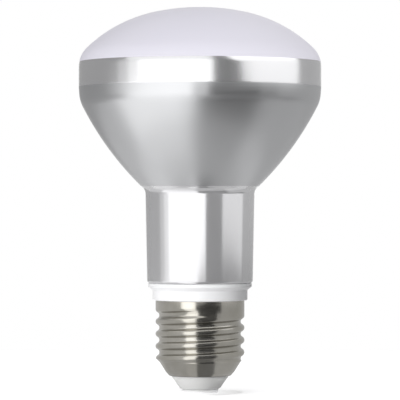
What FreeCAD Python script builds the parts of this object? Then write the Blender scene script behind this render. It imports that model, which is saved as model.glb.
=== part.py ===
import FreeCAD, Part
import math
import os

# Reflector bulb with a screw cap, standing on the centre contact of its cap with its face up.
# The origin is the centre of the contact's flat tip and +Z runs along the lamp's axis.
# Lengths are millimetres and angles are degrees.

# Glass envelope: face, mirror band, bowl and neck
overall_height = 113.5
max_r = 35.75
crown_arc_r = 64.0
crown_half_angle = 12.5
haunch_arc_r = 41.0
rim_arc_r = 8.0
band_height = 6.7
shoulder_arc_r = 10.9
shoulder_turn = 27.0
bowl_arc_r = 90.0
heel_fillet_r = 2.8
neck_foot_r = 15.6
neck_taper = 1.1
neck_foot_bevel = 0.7
stub_r = 13.0
stub_length = 4.0
stub_bevel = 1.4

# Moulded collar between the neck and the cap
collar_height = 5.1
collar_head_r = 15.3
collar_head_height = 1.1
collar_head_bevel = 0.3
collar_slope_height = 1.0
collar_body_r = 14.0
collar_foot_bevel = 0.3
spigot_length = 17.4
spigot_lead_in = 0.8

# Rolled screw shell: sheet, skirt, Edison thread and closing cup
sheet = 0.35
shell_height = 22.2
shell_r = 13.1
skirt_height = 2.6
thread_pitch = 3.629
thread_depth = 1.095
crest_flat = 0.9
root_flat = 0.9
thread_runout_turn = 75.0
thread_start_angle = 5.0
cup_bevel_height = 1.05
cup_bevel_lean = 48.0
cup_cone_height = 2.85
cup_cone_lean = 32.0
cup_foot_height = 1.15
cup_foot_lean = 41.0

# Insulator and centre contact
insulator_exposed_height = 3.8
insulator_tip_r = 5.9
insulator_tip_bevel = 0.4
insulator_rise = 0.9
contact_r = 5.4
contact_height = 1.2
contact_bevel = 0.4
shank_r = 1.8
shank_length = 4.4

# Gaps left by the fits between pieces
radial_fit = 0.1
end_fit = 0.2

# How far a cut reaches past the face that it cuts
groove_over = 0.5

# Heights of the joints between pieces
insulator_tip_z = contact_height
shell_lip_z = insulator_tip_z + insulator_exposed_height
shell_top_z = shell_lip_z + shell_height
neck_foot_z = shell_top_z + collar_height

# Half the angle, in radians, by which the sheet turns at each edge of the thread's grooves
flank_width = (thread_pitch - crest_flat - root_flat) / 2
groove_half_turn = math.atan2(thread_depth, flank_width) / 2


def at(r, z):
    """A point of a half section, at radius r and height z."""
    return FreeCAD.Vector(r, 0, z)


def heading(angle):
    """The direction that points outward and the given angle below the level."""
    return at(math.cos(math.radians(angle)), -math.sin(math.radians(angle)))


def slope(lean):
    """How far a line leaning from the upright moves sideways for each millimetre of height."""
    return math.tan(math.radians(lean))


def inset(corner, lean_above, lean_below, depth):
    """A corner of the sheet's section, moved in until both lines that meet there are at a depth."""
    half_turn = math.radians((lean_above - lean_below) / 2)
    return corner - heading((lean_above + lean_below) / 2) * (depth / math.cos(half_turn))


class Outline:
    """A half section drawn from point to point, then turned about the lamp's axis."""

    def __init__(self, start):
        self.start = start
        self.here = start
        self.edges = []

    def line(self, end):
        self.edges.append(Part.LineSegment(self.here, end).toShape())
        self.here = end

    def bevelled(self, corner, setback, toward):
        """Runs straight to a corner and cuts it off towards the next point."""
        self.line(corner + (self.here - corner).normalize() * setback)
        self.line(corner + (toward - corner).normalize() * setback)

    def bend(self, centre, radius, start_angle, end_angle):
        """An arc about a centre, between two directions given as angles below the level."""
        middle = centre + heading((start_angle + end_angle) / 2) * radius
        end = centre + heading(end_angle) * radius
        self.edges.append(Part.Arc(self.here, middle, end).toShape())
        self.here = end

    def solid(self):
        self.line(self.start)
        face = Part.Face(Part.Wire(self.edges))
        turned = face.revolve(FreeCAD.Vector(0, 0, 0), FreeCAD.Vector(0, 0, 1), 360)
        return turned if turned.Volume > 0 else turned.reversed()


def envelope():
    """The blown reflector: crowned face, straight band, curved bowl, tapered neck and sealed stub."""
    crown_centre = at(0, overall_height - crown_arc_r)
    crown_end = 90 - crown_half_angle
    haunch_centre = crown_centre - heading(-crown_end) * (haunch_arc_r - crown_arc_r)
    haunch_reach = max_r - rim_arc_r - haunch_centre.x
    haunch_end = math.degrees(math.acos(haunch_reach / (haunch_arc_r - rim_arc_r)))
    rim_centre = haunch_centre + heading(-haunch_end) * (haunch_arc_r - rim_arc_r)
    band_foot_z = rim_centre.z - band_height
    shoulder_centre = at(max_r - shoulder_arc_r, band_foot_z)
    bowl_centre = shoulder_centre - heading(shoulder_turn) * (bowl_arc_r - shoulder_arc_r)

    foot = at(neck_foot_r, neck_foot_z)
    along_neck = heading(neck_taper - 90)
    out_of_neck = heading(neck_taper)
    from_bowl = foot + out_of_neck * heel_fillet_r - bowl_centre
    rise = from_bowl.dot(along_neck)
    reach = bowl_arc_r + heel_fillet_r
    climb = -rise - math.sqrt(rise**2 - from_bowl.dot(from_bowl) + reach**2)
    heel_centre = foot + out_of_neck * heel_fillet_r + along_neck * climb
    to_heel = heel_centre - bowl_centre
    bowl_end = math.degrees(math.atan2(-to_heel.z, to_heel.x))

    line = Outline(at(0, overall_height))
    line.bend(crown_centre, crown_arc_r, -90, -crown_end)
    line.bend(haunch_centre, haunch_arc_r, -crown_end, -haunch_end)
    line.bend(rim_centre, rim_arc_r, -haunch_end, 0)
    line.line(at(max_r, band_foot_z))
    line.bend(shoulder_centre, shoulder_arc_r, 0, shoulder_turn)
    line.bend(bowl_centre, bowl_arc_r, shoulder_turn, bowl_end)
    line.bend(heel_centre, heel_fillet_r, bowl_end + 180, neck_taper + 180)
    line.bevelled(foot, neck_foot_bevel, at(stub_r, neck_foot_z))
    line.line(at(stub_r, neck_foot_z))
    stub_end_z = neck_foot_z - stub_length
    line.bevelled(at(stub_r, stub_end_z), stub_bevel, at(0, stub_end_z))
    line.line(at(0, stub_end_z))
    return line.solid()


def collar():
    """The white ring: socket for the neck above, plug for the screw shell below."""
    socket_r = stub_r + radial_fit
    socket_z = neck_foot_z - stub_length - end_fit
    head_foot_z = neck_foot_z - collar_head_height
    slope_foot_z = head_foot_z - collar_slope_height
    seat_r = shell_r - sheet - radial_fit
    spigot_r = seat_r - thread_depth
    step_z = shell_top_z - skirt_height + (sheet + radial_fit) * math.tan(groove_half_turn)
    spigot_end_z = shell_top_z - spigot_length

    line = Outline(at(0, socket_z))
    line.line(at(socket_r, socket_z))
    line.line(at(socket_r, neck_foot_z))
    line.bevelled(at(collar_head_r, neck_foot_z), collar_head_bevel, at(collar_head_r, head_foot_z))
    line.line(at(collar_head_r, head_foot_z))
    line.line(at(collar_body_r, slope_foot_z))
    line.bevelled(at(collar_body_r, shell_top_z), collar_foot_bevel, at(seat_r, shell_top_z))
    line.line(at(seat_r, shell_top_z))
    line.line(at(seat_r, step_z))
    line.line(at(spigot_r, step_z))
    line.line(at(spigot_r, spigot_end_z + spigot_lead_in))
    line.line(at(spigot_r - spigot_lead_in, spigot_end_z))
    line.line(at(0, spigot_end_z))
    return line.solid()


class Cup:
    """The sheet's closing cup: a bevel under the thread, then two cones down to the lip."""

    def __init__(self):
        self.break_z = shell_lip_z + cup_foot_height
        self.waist_z = self.break_z + cup_cone_height
        self.top_z = self.waist_z + cup_bevel_height
        self.top = at(shell_r, self.top_z)
        self.waist = self.top - at(cup_bevel_height * slope(cup_bevel_lean), cup_bevel_height)
        self.middle = self.waist - at(cup_cone_height * slope(cup_cone_lean), cup_cone_height)

    def inside(self, depth):
        """The four corners of the cup's section at a depth into the sheet, from the top down."""
        top = inset(self.top, 0, cup_bevel_lean, depth)
        waist = inset(self.waist, cup_bevel_lean, cup_cone_lean, depth)
        middle = inset(self.middle, cup_cone_lean, cup_foot_lean, depth)
        drop = middle.z - shell_lip_z
        return top, waist, middle, middle - at(drop * slope(cup_foot_lean), drop)


CUP = Cup()


def groove(depth):
    """The helical groove between the thread's crests, at a depth into the sheet.

    The sheet keeps its thickness over the thread, so deeper in the groove is wider by the share
    that each corner moves when both lines beside it step back.
    """
    root_r = shell_r - thread_depth - depth
    mouth_r = shell_r + groove_over
    half_root = root_flat / 2 + depth * math.tan(groove_half_turn)
    half_mouth = half_root + (mouth_r - root_r) / math.tan(2 * groove_half_turn)
    corners = [at(root_r, -half_root), at(root_r, half_root), at(mouth_r, half_mouth), at(mouth_r, -half_mouth)]

    # The helix runs up from the cup, then leaves the sheet along a cone over part of a turn
    bottom_z = CUP.top_z - thread_pitch
    top_z = shell_top_z - skirt_height - flank_width - root_flat / 2
    turns = Part.makeHelix(thread_pitch, top_z - bottom_z, shell_r)
    end_angle = 360 * (top_z - bottom_z) / thread_pitch
    runout_share = thread_runout_turn / 360
    runout_rise = at(thread_depth + groove_over, thread_pitch * runout_share)
    runout_cone = math.degrees(math.atan2(runout_rise.x, runout_rise.z))
    runout = Part.makeHelix(runout_rise.Length / runout_share, runout_rise.Length, shell_r, runout_cone)
    tools = []
    for path, angle, z in ((turns, 0, bottom_z), (runout, end_angle, top_z)):
        sweep = Part.BRepOffsetAPI.MakePipeShell(Part.Wire(path.Edges))
        sweep.setBiNormalMode(FreeCAD.Vector(0, 0, 1))
        sweep.add(Part.makePolygon(corners + corners[:1]))
        sweep.build()
        sweep.makeSolid()
        tool = sweep.shape()
        tool.rotate(FreeCAD.Vector(0, 0, 0), FreeCAD.Vector(0, 0, 1), angle + thread_start_angle)
        tool.translate(FreeCAD.Vector(0, 0, z))
        tools.append(tool)
    return tools


def threaded_body(depth):
    """The turned shape of the cap at a depth into the sheet, with its thread cut."""
    line = Outline(at(0, shell_top_z))
    line.line(at(shell_r - depth, shell_top_z))
    for corner in CUP.inside(depth):
        line.line(corner)
    line.line(at(0, shell_lip_z))
    body = line.solid()
    for tool in groove(depth):
        body = body.cut(tool)
    return body.Solids[0]


def screw_shell():
    """The rolled sheet shell, with the same wall all the way round each turn of its thread."""
    return threaded_body(0).cut(threaded_body(sheet)).Solids[0]


def cap_insulator():
    """The pale plug that closes the cup, with a flank that follows the cup's inner face."""
    middle, lip = CUP.inside(sheet + radial_fit)[2:]
    hole_r = shank_r + radial_fit
    hole_end_z = insulator_tip_z + shank_length + end_fit

    line = Outline(at(0, middle.z + insulator_rise))
    line.line(middle + at(insulator_rise * slope(cup_cone_lean), insulator_rise))
    line.line(middle)
    line.line(lip)
    line.bevelled(at(insulator_tip_r, insulator_tip_z), insulator_tip_bevel, at(hole_r, insulator_tip_z))
    line.line(at(hole_r, insulator_tip_z))
    line.line(at(hole_r, hole_end_z))
    line.line(at(0, hole_end_z))
    return line.solid()


def contact_button():
    """The centre contact: a flat button with a shank set in the insulator."""
    shank_end_z = insulator_tip_z + shank_length
    line = Outline(at(0, 0))
    line.bevelled(at(contact_r, 0), contact_bevel, at(contact_r, insulator_tip_z))
    line.line(at(contact_r, insulator_tip_z))
    line.line(at(shank_r, insulator_tip_z))
    line.line(at(shank_r, shank_end_z))
    line.line(at(0, shank_end_z))
    return line.solid()


PIECES = {
    "envelope": envelope,
    "collar": collar,
    "screw_shell": screw_shell,
    "cap_insulator": cap_insulator,
    "contact_button": contact_button,
}

os.makedirs("parts", exist_ok=True)
for node, make in PIECES.items():
    shape = make()
    shape.exportStep("parts/%s.step" % node)
    print(node, shape.ShapeType, "valid", shape.isValid(), "volume %.1f" % shape.Volume)
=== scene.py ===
import math

import bmesh
import bpy
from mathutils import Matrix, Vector


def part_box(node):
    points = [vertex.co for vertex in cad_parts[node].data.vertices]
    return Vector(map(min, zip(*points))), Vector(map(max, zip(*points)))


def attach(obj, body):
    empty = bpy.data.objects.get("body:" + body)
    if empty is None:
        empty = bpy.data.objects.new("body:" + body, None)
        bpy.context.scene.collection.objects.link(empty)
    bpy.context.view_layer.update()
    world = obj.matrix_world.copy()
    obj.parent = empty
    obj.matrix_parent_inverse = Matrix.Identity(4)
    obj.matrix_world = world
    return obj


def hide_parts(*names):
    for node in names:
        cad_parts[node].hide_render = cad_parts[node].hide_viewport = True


# Reflector bulb in a plain studio.
# Lengths are metres, and the lamp stands on its contact at the origin.
MM = 0.001

# How finely the pieces are divided
AROUND = 192
AROUND_FINE = 256
ROUND_STEPS = 8
SHELL_ROWS = 150
BEVEL_RINGS = 14
BEVEL_RING_STEP = 0.1 * MM

# Two points nearer than this are one
SAME_POINT = 1e-7

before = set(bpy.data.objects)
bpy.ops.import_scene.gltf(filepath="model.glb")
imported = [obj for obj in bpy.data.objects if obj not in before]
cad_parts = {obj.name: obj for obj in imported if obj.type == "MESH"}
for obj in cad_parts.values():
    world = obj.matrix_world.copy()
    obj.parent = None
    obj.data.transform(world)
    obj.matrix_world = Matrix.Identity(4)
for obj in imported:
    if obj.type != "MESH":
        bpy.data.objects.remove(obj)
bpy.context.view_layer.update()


def heading(angle):
    """The outward direction, as radius and height, that points an angle below the level."""
    return Vector((math.cos(math.radians(angle)), -math.sin(math.radians(angle))))


# Heights that the frame gives
TOP_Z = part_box("envelope")[1][2]
NECK_FOOT_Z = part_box("collar")[1][2]
LIP_Z, SHELL_TOP_Z = (corner[2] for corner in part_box("screw_shell"))
INSULATOR_TIP_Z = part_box("cap_insulator")[0][2]

# Glass envelope
MAX_R = 35.75 * MM
CROWN_ARC_R = 64 * MM
CROWN_HALF_ANGLE = 12.5
HAUNCH_ARC_R = 41 * MM
RIM_ARC_R = 8 * MM
BAND_HEIGHT = 6.7 * MM
SHOULDER_ARC_R = 10.9 * MM
SHOULDER_TURN = 27
SHOULDER_EASE = 1.4 * MM
EASE_TURN = 4
BOWL_ARC_R = 90 * MM
HEEL_FILLET_R = 2.8 * MM
NECK_FOOT_R = 15.6 * MM
NECK_TAPER = 1.1
NECK_FOOT_EDGE_R = 0.7 * MM
FACE_EDGE_Z = 97.4 * MM
BAND_EDGE_Z = 90.1 * MM
HEEL_Z = 60.8 * MM
MATERIAL_EDGES = (FACE_EDGE_Z, BAND_EDGE_Z, HEEL_Z)

# Collar
COLLAR_HEAD_R = 15.3 * MM
COLLAR_HEAD_HEIGHT = 1.1 * MM
COLLAR_SLOPE_HEIGHT = 1.0 * MM
COLLAR_BODY_R = 14 * MM
COLLAR_EDGE_R = 0.35 * MM

# Screw shell
SHELL_R = 13.1 * MM
SHEET = 0.35 * MM
SKIRT_HEIGHT = 2.6 * MM
THREAD_PITCH = 3.629 * MM
THREAD_DEPTH = 1.095 * MM
THREAD_START_ANGLE = 5
THREAD_RUNOUT_TURN = 52
GROOVE_MOUTH = 2.73 * MM
CUP_FOOT_HEIGHT = 1.15 * MM
CUP_FOOT_LEAN = 41
CUP_CONE_HEIGHT = 2.85 * MM
CUP_CONE_LEAN = 32
CUP_BEVEL_HEIGHT = 1.05 * MM
CUP_BEVEL_LEAN = 48
CUP_EDGE_R = 0.5 * MM
CUP_BREAK_R = 3 * MM
CUP_BREAK_Z = LIP_Z + CUP_FOOT_HEIGHT
CUP_TOP_Z = CUP_BREAK_Z + CUP_CONE_HEIGHT + CUP_BEVEL_HEIGHT

# Insulator and contact
INSULATOR_LIP_R = 8.6 * MM
INSULATOR_TIP_R = 5.9 * MM
CONTACT_R = 5.4 * MM
SMALL_EDGE_R = 0.4 * MM


class Outline:
    """A half section of (radius, height) points, drawn from point to point with arcs between."""

    def __init__(self, *start):
        self.points = [Vector(start)]

    def line(self, *end):
        self.points.append(Vector(end))

    def bend(self, centre, radius, start_angle, end_angle, step):
        """An arc about a centre, between two directions given as angles below the level."""
        count = max(2, math.ceil(abs(end_angle - start_angle) / step))
        for i in range(count + 1):
            point = centre + heading(start_angle + (end_angle - start_angle) * i / count) * radius
            if (point - self.points[-1]).length > SAME_POINT:
                self.points.append(point)

    def rounded(self, corner, radius, toward):
        """Runs straight to a corner and rounds it towards the next point."""
        corner, toward = Vector(corner), Vector(toward)
        back = (self.points[-1] - corner).normalized()
        ahead = (toward - corner).normalized()
        half = back.angle(ahead) / 2
        centre = corner + (back + ahead).normalized() * (radius / math.sin(half))
        start = (corner + back * (radius / math.tan(half)) - centre).normalized()
        end = (corner + ahead * (radius / math.tan(half)) - centre).normalized()
        for i in range(ROUND_STEPS + 1):
            self.points.append(centre + start.slerp(end, i / ROUND_STEPS) * radius)


def split_at(heights, points):
    """The same half section with a point wherever it crosses one of the heights."""
    split = [points[0]]
    for start, end in zip(points, points[1:]):
        for z in heights:
            if start.y > z > end.y:
                split.append(start.lerp(end, (start.y - z) / (start.y - end.y)))
        split.append(end)
    return split


def turned(name, points, around=AROUND):
    """A mesh turned about the lamp's axis from a half section."""
    mesh = bpy.data.meshes.new(name)
    maker = bmesh.new()
    turn = 2 * math.pi / around
    directions = [(math.cos(turn * i), math.sin(turn * i)) for i in range(around)]
    rings = []
    for r, z in points:
        if r < SAME_POINT:
            rings.append([maker.verts.new((0, 0, z))])
        else:
            rings.append([maker.verts.new((r * x, r * y, z)) for x, y in directions])
    for upper, lower in zip(rings, rings[1:]):
        for i in range(around):
            j = (i + 1) % around
            path = ((upper, i), (lower, i), (lower, j), (upper, j))
            corners = [ring[place % len(ring)] for ring, place in path]
            maker.faces.new(list(dict.fromkeys(corners)))
    bmesh.ops.recalc_face_normals(maker, faces=maker.faces)
    maker.to_mesh(mesh)
    maker.free()
    for polygon in mesh.polygons:
        polygon.use_smooth = True
    piece = bpy.data.objects.new(name, mesh)
    bpy.context.collection.objects.link(piece)
    return piece


def dress(piece, node, slot, *materials):
    """Puts a finished piece in the place of its CAD node."""
    for material in materials:
        piece.data.materials.append(material)
    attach(piece, "root")
    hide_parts(node)


def new_material(name):
    material = bpy.data.materials.new(name)
    material.use_nodes = True
    tree = material.node_tree
    return material, tree, tree.nodes["Principled BSDF"]


def noise(tree, scale, detail=2.0, stretch=(1, 1, 1)):
    """Noise in the object's own space, stretched along an axis where the finish runs that way."""
    place = tree.nodes.new("ShaderNodeTexCoord")
    mapping = tree.nodes.new("ShaderNodeMapping")
    mapping.inputs["Scale"].default_value = stretch
    texture = tree.nodes.new("ShaderNodeTexNoise")
    texture.inputs["Scale"].default_value = scale
    texture.inputs["Detail"].default_value = detail
    tree.links.new(place.outputs["Object"], mapping.inputs["Vector"])
    tree.links.new(mapping.outputs["Vector"], texture.inputs["Vector"])
    return texture.outputs["Fac"]


def mottle(tree, shader, scale, dark, light):
    """Lets the base colour wander between two tints."""
    ramp = tree.nodes.new("ShaderNodeValToRGB")
    for element, position, tint in zip(ramp.color_ramp.elements, (0.3, 0.7), (dark, light)):
        element.position = position
        element.color = (*tint, 1)
    tree.links.new(noise(tree, scale), ramp.inputs["Fac"])
    tree.links.new(ramp.outputs["Color"], shader.inputs["Base Color"])


def spread(tree, value, low, high):
    """Maps 0 to 1 onto low to high."""
    node = tree.nodes.new("ShaderNodeMapRange")
    node.inputs["To Min"].default_value = low
    node.inputs["To Max"].default_value = high
    tree.links.new(value, node.inputs["Value"])
    return node.outputs["Result"]


def roughen(tree, shader, texture, low, high):
    """Lets the roughness follow a texture from low to high."""
    tree.links.new(spread(tree, texture, low, high), shader.inputs["Roughness"])


def bump(tree, shader, height, distance, strength):
    node = tree.nodes.new("ShaderNodeBump")
    node.inputs["Distance"].default_value = distance
    node.inputs["Strength"].default_value = strength
    tree.links.new(height, node.inputs["Height"])
    tree.links.new(node.outputs["Normal"], shader.inputs["Normal"])


SILVER = ((0.61, 0.61, 0.62), (0.64, 0.64, 0.65))
SATIN_SILVER = ((0.49, 0.494, 0.503), (0.52, 0.524, 0.535))


def silver_material(name, low, high, metallic, tints=SILVER):
    """Silver behind clear, faintly uneven glass, with a roughness from low to high."""
    material, tree, shader = new_material(name)
    shader.inputs["Metallic"].default_value = metallic
    mottle(tree, shader, 40, *tints)
    roughen(tree, shader, noise(tree, 60), low, high)
    height = noise(tree, 55, detail=1.0, stretch=(1, 1, 0.4))
    bump(tree, shader, height, distance=0.02 * MM, strength=0.5)
    return material


def frosted_material():
    """The frosted face: pale, faintly lavender glass, etched fine on the inside."""
    material, tree, shader = new_material("frosted_face")
    mottle(tree, shader, 25, (0.76, 0.745, 0.83), (0.78, 0.765, 0.84))
    roughen(tree, shader, noise(tree, 300), 0.42, 0.5)
    shader.inputs["Specular IOR Level"].default_value = 0.25
    bump(tree, shader, noise(tree, 2500), distance=0.01 * MM, strength=0.3)
    return material


def collar_material():
    """White moulded plastic."""
    material, tree, shader = new_material("collar_plastic")
    mottle(tree, shader, 90, (0.90, 0.90, 0.91), (0.94, 0.94, 0.95))
    roughen(tree, shader, noise(tree, 500), 0.28, 0.36)
    bump(tree, shader, noise(tree, 1200), distance=0.008 * MM, strength=0.4)
    return material


def cap_material():
    """Bright nickel plate on rolled sheet, drawn along the turns, its tint partly the plate's own
    and partly painted shade, darker than plain nickel to stand for the dark surroundings it
    reflects.
    """
    material, tree, shader = new_material("nickel_plate")
    shader.inputs["Metallic"].default_value = 1.0
    # These tints are darker than plain nickel: partly the plate's own tone, partly painted shade
    # for the dark surroundings the cap reflects.
    mottle(tree, shader, 120, (0.38, 0.365, 0.325), (0.46, 0.445, 0.41))
    roughen(tree, shader, noise(tree, 200, detail=3.0, stretch=(1, 1, 8)), 0.2, 0.28)
    height = noise(tree, 260, detail=2.0, stretch=(1, 1, 6))
    bump(tree, shader, height, distance=0.02 * MM, strength=0.5)
    return material


def insulator_material():
    """Pale moulded insulator."""
    material, tree, shader = new_material("insulator")
    mottle(tree, shader, 150, (0.76, 0.76, 0.75), (0.80, 0.80, 0.79))
    roughen(tree, shader, noise(tree, 400), 0.5, 0.65)
    bump(tree, shader, noise(tree, 900), distance=0.02 * MM, strength=0.5)
    return material


def contact_material():
    """Tinned contact, slightly dull."""
    material, tree, shader = new_material("tinned_contact")
    shader.inputs["Metallic"].default_value = 0.5
    mottle(tree, shader, 200, (0.91, 0.91, 0.91), (0.96, 0.96, 0.96))
    roughen(tree, shader, noise(tree, 500), 0.35, 0.5)
    bump(tree, shader, noise(tree, 700), distance=0.02 * MM, strength=0.6)
    return material


def envelope_section():
    """The blown outline: crown, haunch and rim of the face, band, bowl, heel and tapered neck."""
    crown_centre = Vector((0, TOP_Z - CROWN_ARC_R))
    crown_end = 90 - CROWN_HALF_ANGLE
    haunch_centre = crown_centre + heading(-crown_end) * (CROWN_ARC_R - HAUNCH_ARC_R)
    haunch_reach = MAX_R - RIM_ARC_R - haunch_centre.x
    haunch_end = math.degrees(math.acos(haunch_reach / (HAUNCH_ARC_R - RIM_ARC_R)))
    rim_centre = haunch_centre + heading(-haunch_end) * (HAUNCH_ARC_R - RIM_ARC_R)
    band_foot_z = rim_centre.y - BAND_HEIGHT
    shoulder_centre = Vector((MAX_R - SHOULDER_ARC_R, band_foot_z))
    bowl_centre = shoulder_centre - heading(SHOULDER_TURN) * (BOWL_ARC_R - SHOULDER_ARC_R)

    # The glass draws in gently under the band, within a tenth of a millimetre of the plain arc
    ease_centre = shoulder_centre + Vector((0, SHOULDER_EASE))
    ease_end = ease_centre + heading(EASE_TURN) * SHOULDER_ARC_R
    shoulder_end = shoulder_centre + heading(SHOULDER_TURN) * SHOULDER_ARC_R
    turn_left = math.radians(SHOULDER_TURN - EASE_TURN)
    tight_r = (ease_end - shoulder_end).dot(heading(EASE_TURN)) / (1 - math.cos(turn_left))
    tight_centre = shoulder_end - heading(SHOULDER_TURN) * tight_r

    foot = Vector((NECK_FOOT_R, NECK_FOOT_Z))
    along_neck = heading(NECK_TAPER - 90)
    out_of_neck = heading(NECK_TAPER)
    from_bowl = foot + out_of_neck * HEEL_FILLET_R - bowl_centre
    rise = from_bowl.dot(along_neck)
    reach = BOWL_ARC_R + HEEL_FILLET_R
    climb = -rise - math.sqrt(rise**2 - from_bowl.dot(from_bowl) + reach**2)
    heel_centre = foot + out_of_neck * HEEL_FILLET_R + along_neck * climb
    to_heel = heel_centre - bowl_centre
    bowl_end = math.degrees(math.atan2(-to_heel.y, to_heel.x))

    line = Outline(0, TOP_Z)
    line.bend(crown_centre, CROWN_ARC_R, -90, -crown_end, step=1.0)
    line.bend(haunch_centre, HAUNCH_ARC_R, -crown_end, -haunch_end, step=1.5)
    line.bend(rim_centre, RIM_ARC_R, -haunch_end, 0, step=2.5)
    line.bend(ease_centre, SHOULDER_ARC_R, 0, EASE_TURN, step=1.0)
    line.bend(tight_centre, tight_r, EASE_TURN, SHOULDER_TURN, step=2.5)
    line.bend(bowl_centre, BOWL_ARC_R, SHOULDER_TURN, bowl_end, step=1.0)
    line.bend(heel_centre, HEEL_FILLET_R, bowl_end + 180, NECK_TAPER + 180, step=4.0)
    line.rounded(foot, NECK_FOOT_EDGE_R, (0, NECK_FOOT_Z))
    line.line(0, NECK_FOOT_Z)
    return split_at(MATERIAL_EDGES, line.points)


def make_envelope():
    piece = turned("glass_envelope", envelope_section(), AROUND_FINE)
    face = frosted_material()
    band = silver_material("silvered_band", 0.17, 0.21, metallic=0.92)
    bowl = silver_material("silvered_bowl", 0.31, 0.36, metallic=1.0, tints=SATIN_SILVER)
    neck = silver_material("silvered_neck", 0.13, 0.17, metallic=0.7)
    dress(piece, "envelope", "silvered_glass", face, band, bowl, neck)
    for polygon in piece.data.polygons:
        polygon.material_index = sum(polygon.center.z < edge for edge in MATERIAL_EDGES)


def make_collar():
    head_foot_z = NECK_FOOT_Z - COLLAR_HEAD_HEIGHT
    slope_foot_z = head_foot_z - COLLAR_SLOPE_HEIGHT
    line = Outline(0, NECK_FOOT_Z)
    line.rounded((COLLAR_HEAD_R, NECK_FOOT_Z), COLLAR_EDGE_R, (COLLAR_HEAD_R, head_foot_z))
    line.rounded((COLLAR_HEAD_R, head_foot_z), COLLAR_EDGE_R, (COLLAR_BODY_R, slope_foot_z))
    line.rounded((COLLAR_BODY_R, slope_foot_z), COLLAR_EDGE_R, (COLLAR_BODY_R, SHELL_TOP_Z))
    line.rounded((COLLAR_BODY_R, SHELL_TOP_Z), COLLAR_EDGE_R, (0, SHELL_TOP_Z))
    line.line(0, SHELL_TOP_Z)
    piece = turned("collar_ring", line.points)
    dress(piece, "collar", "collar_white", collar_material())


def knuckle(share):
    """The knuckle form of the thread: 0 on a crest, 1 in a root, from tangent arcs."""
    lean = 2 * math.atan(2 * THREAD_DEPTH / THREAD_PITCH)
    arc_r = THREAD_PITCH / 4 / math.sin(lean)
    from_crest = abs((share + 0.5) % 1 - 0.5) * THREAD_PITCH
    if from_crest < THREAD_PITCH / 4:
        return (arc_r - math.sqrt(arc_r**2 - from_crest**2)) / THREAD_DEPTH
    to_root = THREAD_PITCH / 2 - from_crest
    return 1 - (arc_r - math.sqrt(arc_r**2 - to_root**2)) / THREAD_DEPTH


def shell_radius(z, angle):
    """The shell's radius beside and in its groove, at a height and an angle in degrees.

    The groove climbs from below the cup's top to the skirt, where it runs out over part of a turn.
    """
    start_z = CUP_TOP_Z - THREAD_PITCH
    turn = (angle - THREAD_START_ANGLE) % 360
    turn += 360 * round((z - start_z) / THREAD_PITCH - turn / 360)
    share = (z - start_z) / THREAD_PITCH - turn / 360 + 0.5
    last_z = SHELL_TOP_Z - SKIRT_HEIGHT - GROOVE_MOUTH / 2
    past_end = turn - 360 * (last_z - start_z) / THREAD_PITCH
    fade = min(1, max(0, 1 - past_end / THREAD_RUNOUT_TURN))
    return SHELL_R - THREAD_DEPTH * knuckle(share) * fade


def below(point, height, lean):
    """The point that lies lower by a height, on a line that leans inward from the upright."""
    r, z = point
    return r - height * math.tan(math.radians(lean)), z - height


def make_screw_shell():
    top = (SHELL_R, CUP_TOP_Z)
    waist = below(top, CUP_BEVEL_HEIGHT, CUP_BEVEL_LEAN)
    middle = below(waist, CUP_CONE_HEIGHT, CUP_CONE_LEAN)
    lip = below(middle, CUP_FOOT_HEIGHT, CUP_FOOT_LEAN)
    line = Outline(0, SHELL_TOP_Z)
    for row in range(SHELL_ROWS):
        line.line(SHELL_R, SHELL_TOP_Z + (CUP_TOP_Z + CUP_EDGE_R - SHELL_TOP_Z) * row / SHELL_ROWS)
    line.rounded(top, CUP_EDGE_R, waist)
    line.rounded(waist, CUP_EDGE_R, middle)
    line.rounded(middle, CUP_BREAK_R, lip)
    line.line(*lip)
    line.line(lip[0] - SHEET, LIP_Z)
    line.line(0, LIP_Z)
    bevel_rings = [CUP_TOP_Z - BEVEL_RING_STEP * step for step in range(BEVEL_RINGS)]
    piece = turned("screw_cap_shell", split_at(bevel_rings, line.points), AROUND_FINE)
    for vertex in piece.data.vertices:
        r = math.hypot(vertex.co.x, vertex.co.y)
        angle = math.degrees(math.atan2(vertex.co.y, vertex.co.x))
        threaded_r = shell_radius(vertex.co.z, angle)
        if vertex.co.z > CUP_BREAK_Z and r > threaded_r:
            vertex.co.x *= threaded_r / r
            vertex.co.y *= threaded_r / r
    dress(piece, "screw_shell", "cap_metal", cap_material())


def make_insulator():
    line = Outline(0, LIP_Z + SHEET)
    line.line(INSULATOR_LIP_R, LIP_Z + SHEET)
    line.line(INSULATOR_LIP_R, LIP_Z)
    line.rounded((INSULATOR_TIP_R, INSULATOR_TIP_Z), SMALL_EDGE_R, (0, INSULATOR_TIP_Z))
    line.line(0, INSULATOR_TIP_Z)
    piece = turned("insulator_plug", line.points)
    dress(piece, "cap_insulator", "insulator_white", insulator_material())


def make_contact():
    line = Outline(0, INSULATOR_TIP_Z)
    line.line(CONTACT_R, INSULATOR_TIP_Z)
    line.rounded((CONTACT_R, 0), SMALL_EDGE_R, (0, 0))
    line.line(0, 0)
    piece = turned("centre_contact", line.points)
    dress(piece, "contact_button", "contact_metal", contact_material())


make_envelope()
make_collar()
make_screw_shell()
make_insulator()
make_contact()

# Studio: a round pale table, cards that light the lamp and show in its shine, and a camera level
# with the lamp's middle. A card's angles are 0 towards the camera and 90 to the photo's right.
TABLE_R = 0.22
TABLE_SIDES = 96
TABLE_GLOW = 0.5
WORLD_LIGHT = 0.5

# Cards round the studio
CARD_DISTANCE = 1.5
WALL_DISTANCE = 1.55
CARD_COLUMNS = 24
CARD_LOW = -0.6
CARD_FOOT = -0.2
SIDE_FOOT = -0.137
CARD_SHOULDER = 0.12
CARD_CROWN = 0.4
CARD_HIGH = 1.3
BACK_ANGLE = 165
FRINGE = 12
FRINGE_SHARES = {"fringe": 0.62, "outer_fringe": 0.38}

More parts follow.
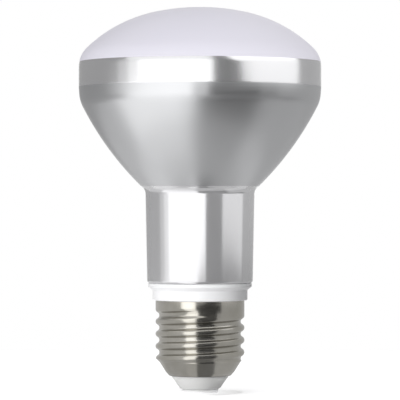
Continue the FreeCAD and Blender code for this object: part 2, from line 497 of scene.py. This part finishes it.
# Cards on the table and close to the lamp
FLOOR_CARD_Z = 0.0015
CAP_FLOOR_IN = 0.006
CAP_CARD_R = 0.021
NEAR_RING = 0.05
MID_RING = 0.085
FAR_RING = 0.21
SKIRT_CARD_R = 0.022
CAP_CARD_SPLIT = 0.0235
CAP_CARD_TOP = 0.027
SHOULDER_CARD_R = 0.047
SHOULDER_CARD_FOOT = 0.081
SHOULDER_CARD_TOP = 0.0896

# Camera
CAMERA_DISTANCE = 0.8
CAMERA_HEIGHT = 0.058
CAMERA_LENS = 50.0
IMAGE_PX = 400
PX_SIZE = 0.295 * MM
AXIS_PX = 200.0
TIP_PX = 392.2


def shown_rays(tree):
    """1 on the rays that show the plain white background: camera, glossy and transmission rays."""
    path = tree.nodes.new("ShaderNodeLightPath")
    value = path.outputs["Is Camera Ray"]
    for kind in ("Is Glossy Ray", "Is Transmission Ray"):
        either = tree.nodes.new("ShaderNodeMath")
        either.operation = "MAXIMUM"
        tree.links.new(value, either.inputs[0])
        tree.links.new(path.outputs[kind], either.inputs[1])
        value = either.outputs[0]
    return value


def make_table():
    material, tree, shader = new_material("table_paint")
    mottle(tree, shader, 8, (0.80, 0.80, 0.81), (0.82, 0.82, 0.83))
    shader.inputs["Roughness"].default_value = 0.9
    shader.inputs["Emission Color"].default_value = (1, 1, 1, 1)
    glow = spread(tree, shown_rays(tree), 0.0, TABLE_GLOW)
    tree.links.new(glow, shader.inputs["Emission Strength"])
    table = turned("studio_table", [(0, 0), (TABLE_R, 0)], TABLE_SIDES)
    table.data.materials.append(material)


def make_card(name, vertices, light):
    """A glowing card of two rows of points, which the camera doesn't see."""
    mesh = bpy.data.meshes.new(name)
    faces = [(i, i + 2, i + 3, i + 1) for i in range(0, 2 * CARD_COLUMNS, 2)]
    mesh.from_pydata(vertices, [], faces)
    card = bpy.data.objects.new(name, mesh)
    bpy.context.collection.objects.link(card)
    card.visible_camera = False
    card.visible_shadow = False
    material, tree, shader = new_material(name)
    shader.inputs["Base Color"].default_value = (0, 0, 0, 1)
    shader.inputs["Specular IOR Level"].default_value = 0
    shader.inputs["Emission Color"].default_value = (1, 1, 1, 1)
    shader.inputs["Emission Strength"].default_value = light
    card.data.materials.append(material)
    return card


def between(low, high):
    """Points in two rows round the lamp.

    Each row is given by its left and right angle from the camera, its radius and its height.
    """
    vertices = []
    for i in range(CARD_COLUMNS + 1):
        for left, right, r, z in (low, high):
            turn = math.radians(left + (right - left) * i / CARD_COLUMNS)
            vertices.append((r * math.sin(turn), -r * math.cos(turn), z))
    return vertices


def stand_card(name, left, right, low_z, high_z, light, distance=CARD_DISTANCE, high_left=None):
    """A card that stands round the lamp. Its left edge may lean, to high_left at the top."""
    low = (left, right, distance, low_z)
    high = (left if high_left is None else high_left, right, distance, high_z)
    return make_card(name, between(low, high), light)


def lay_card(name, left, right, inner, outer, light):
    """A card that lies on the table and shows only in the lamp's shine."""
    near, far = ((left, right, distance, FLOOR_CARD_Z) for distance in (inner, outer))
    card = make_card(name, between(near, far), light)
    card.visible_diffuse = False


def near_card(name, left, right, low_z, high_z, light, distance):
    """A card close to the lamp that shows only in its shine."""
    card = stand_card(name, left, right, low_z, high_z, light, distance)
    card.visible_diffuse = False


def soft_edged(name, left, right, low_z, high_z, light):
    """A softbox round the lamp, whose left edge fades in steps."""
    stand_card(name, left, right, low_z, high_z, light)
    for step, (fringe, share) in enumerate(FRINGE_SHARES.items()):
        edge = left - FRINGE * step
        stand_card("%s_%s" % (name, fringe), edge - FRINGE, edge, low_z, high_z, light * share)


def flag(name, left, right, low_z, high_z, distance):
    """A black card that keeps light off a piece from one side."""
    card = stand_card(name, left, right, low_z, high_z, 0.0, distance)
    card.visible_shadow = True
    card.visible_glossy = False


def fill(name, left, right, low_z, high_z, light, distance):
    """A low card that lights the pale pieces from one side and isn't seen in the lamp's shine."""
    card = stand_card(name, left, right, low_z, high_z, light, distance)
    card.visible_glossy = False


def sectors(edges, lights):
    """Four sectors round the lamp, each with its name, left edge, right edge and light."""
    lefts, rights = (BACK_ANGLE - 360, *edges), (*edges, BACK_ANGLE)
    return zip(("left", "key", "dark", "right"), lefts, rights, lights)


def make_world():
    world = bpy.data.worlds.new("studio")
    bpy.context.scene.world = world
    world.use_nodes = True
    tree = world.node_tree
    background = tree.nodes["Background"]
    background.inputs["Color"].default_value = (1, 1, 1, 1)
    tree.links.new(spread(tree, shown_rays(tree), WORLD_LIGHT, 1.0), background.inputs["Strength"])


def make_camera():
    """A level camera, whose shift alone brings the lamp into the photo's frame."""
    data = bpy.data.cameras.new("camera")
    camera = bpy.data.objects.new("camera", data)
    bpy.context.collection.objects.link(camera)
    bpy.context.scene.camera = camera
    frame_width = IMAGE_PX * PX_SIZE
    data.lens = CAMERA_LENS
    data.sensor_width = CAMERA_LENS * frame_width / CAMERA_DISTANCE
    camera.location = ((IMAGE_PX / 2 - AXIS_PX) * PX_SIZE, -CAMERA_DISTANCE, CAMERA_HEIGHT)
    camera.rotation_euler = (math.pi / 2, 0, 0)
    data.shift_y = ((TIP_PX - IMAGE_PX / 2) * PX_SIZE - CAMERA_HEIGHT) / frame_width


make_table()
stand_card("key_high", -74, 12, CARD_CROWN, CARD_HIGH, 1.4)
soft_edged("key_softbox", -59, 12, CARD_SHOULDER, CARD_CROWN, 2.0)
soft_edged("key_middle", -70, 12, CARD_FOOT, CARD_SHOULDER, 2.0)
stand_card("key_low", -75, 2, CARD_LOW, CARD_FOOT, 2.0)
stand_card("side_high", 30, 106, CARD_CROWN, CARD_HIGH, 1.9, high_left=20)
stand_card("side_softbox", 42, 106, CARD_SHOULDER, CARD_CROWN, 1.6, high_left=30)
stand_card("side_middle", 48, 102, SIDE_FOOT, CARD_SHOULDER, 1.17)
stand_card("side_low", 60, 106, CARD_LOW, SIDE_FOOT, 0.1)
stand_card("back_softbox", BACK_ANGLE, 360 - BACK_ANGLE, CARD_LOW, CARD_HIGH, 1.0)
stand_card("left_grey", -BACK_ANGLE, -40, CARD_FOOT, CARD_HIGH, 0.42, WALL_DISTANCE)
stand_card("left_low", -BACK_ANGLE, -40, CARD_LOW, CARD_FOOT, 0.42, WALL_DISTANCE)
stand_card("dark_gap", -40, 60, CARD_LOW, CARD_HIGH, 0.2, WALL_DISTANCE)
stand_card("right_grey", 60, BACK_ANGLE, CARD_LOW, CARD_HIGH, 0.54, WALL_DISTANCE)
for ring, inner, outer, edges, lights in (
    ("far", MID_RING, FAR_RING, (-86, -4, 60), (0.78, 1.65, 0.15, 0.6)),
    ("mid", NEAR_RING, MID_RING, (-86, -10, 60), (1.1, 1.2, 0.55, 0.85)),
    ("near", CAP_CARD_R, NEAR_RING, (-86, -8, 60), (1.15, 1.0, 0.62, 0.7)),
    ("cap", CAP_FLOOR_IN, CAP_CARD_R, (-31, -7, 34), (0.6, 0.7, 0.22, 0.6)),
):
    for sector, left, right, light in sectors(edges, lights):
        lay_card("%s_%s_floor" % (ring, sector), left, right, inner, outer, light)
for part, distance, high_z, edges, lights in (
    ("skirt", SKIRT_CARD_R, CAP_CARD_TOP, (-35, -8, 40), (0.7, 2.7, 0.01, 0.6)),
    ("thread", CAP_CARD_R, CAP_CARD_SPLIT, (-30, -7.5, 31), (0.7, 2.1, 0.05, 0.6)),
):
    for sector, left, right, light in sectors(edges, lights):
        name = "cap_%s_%s" % (part, sector)
        near_card(name, left, right, FLOOR_CARD_Z, high_z, light, distance)
for tone, left, right, light in (
    ("soft", -4, 5, 1.0),
    ("dark", 5, 36, 0.1),
    ("mid", 36, 50, 0.3),
    ("grey", 50, 80, 0.5),
):
    name = "shoulder_" + tone
    near_card(name, left, right, SHOULDER_CARD_FOOT, SHOULDER_CARD_TOP, light, SHOULDER_CARD_R)
flag("collar_flag", 38, 165, low_z=0.022, high_z=0.041, distance=0.03)
flag("insulator_flag", 10, 130, low_z=0.0002, high_z=0.0037, distance=0.013)
fill("collar_fill", -120, 0, low_z=0.011, high_z=0.021, light=1.9, distance=0.045)
make_world()
make_camera()

scene = bpy.context.scene
scene.view_settings.view_transform = "Standard"
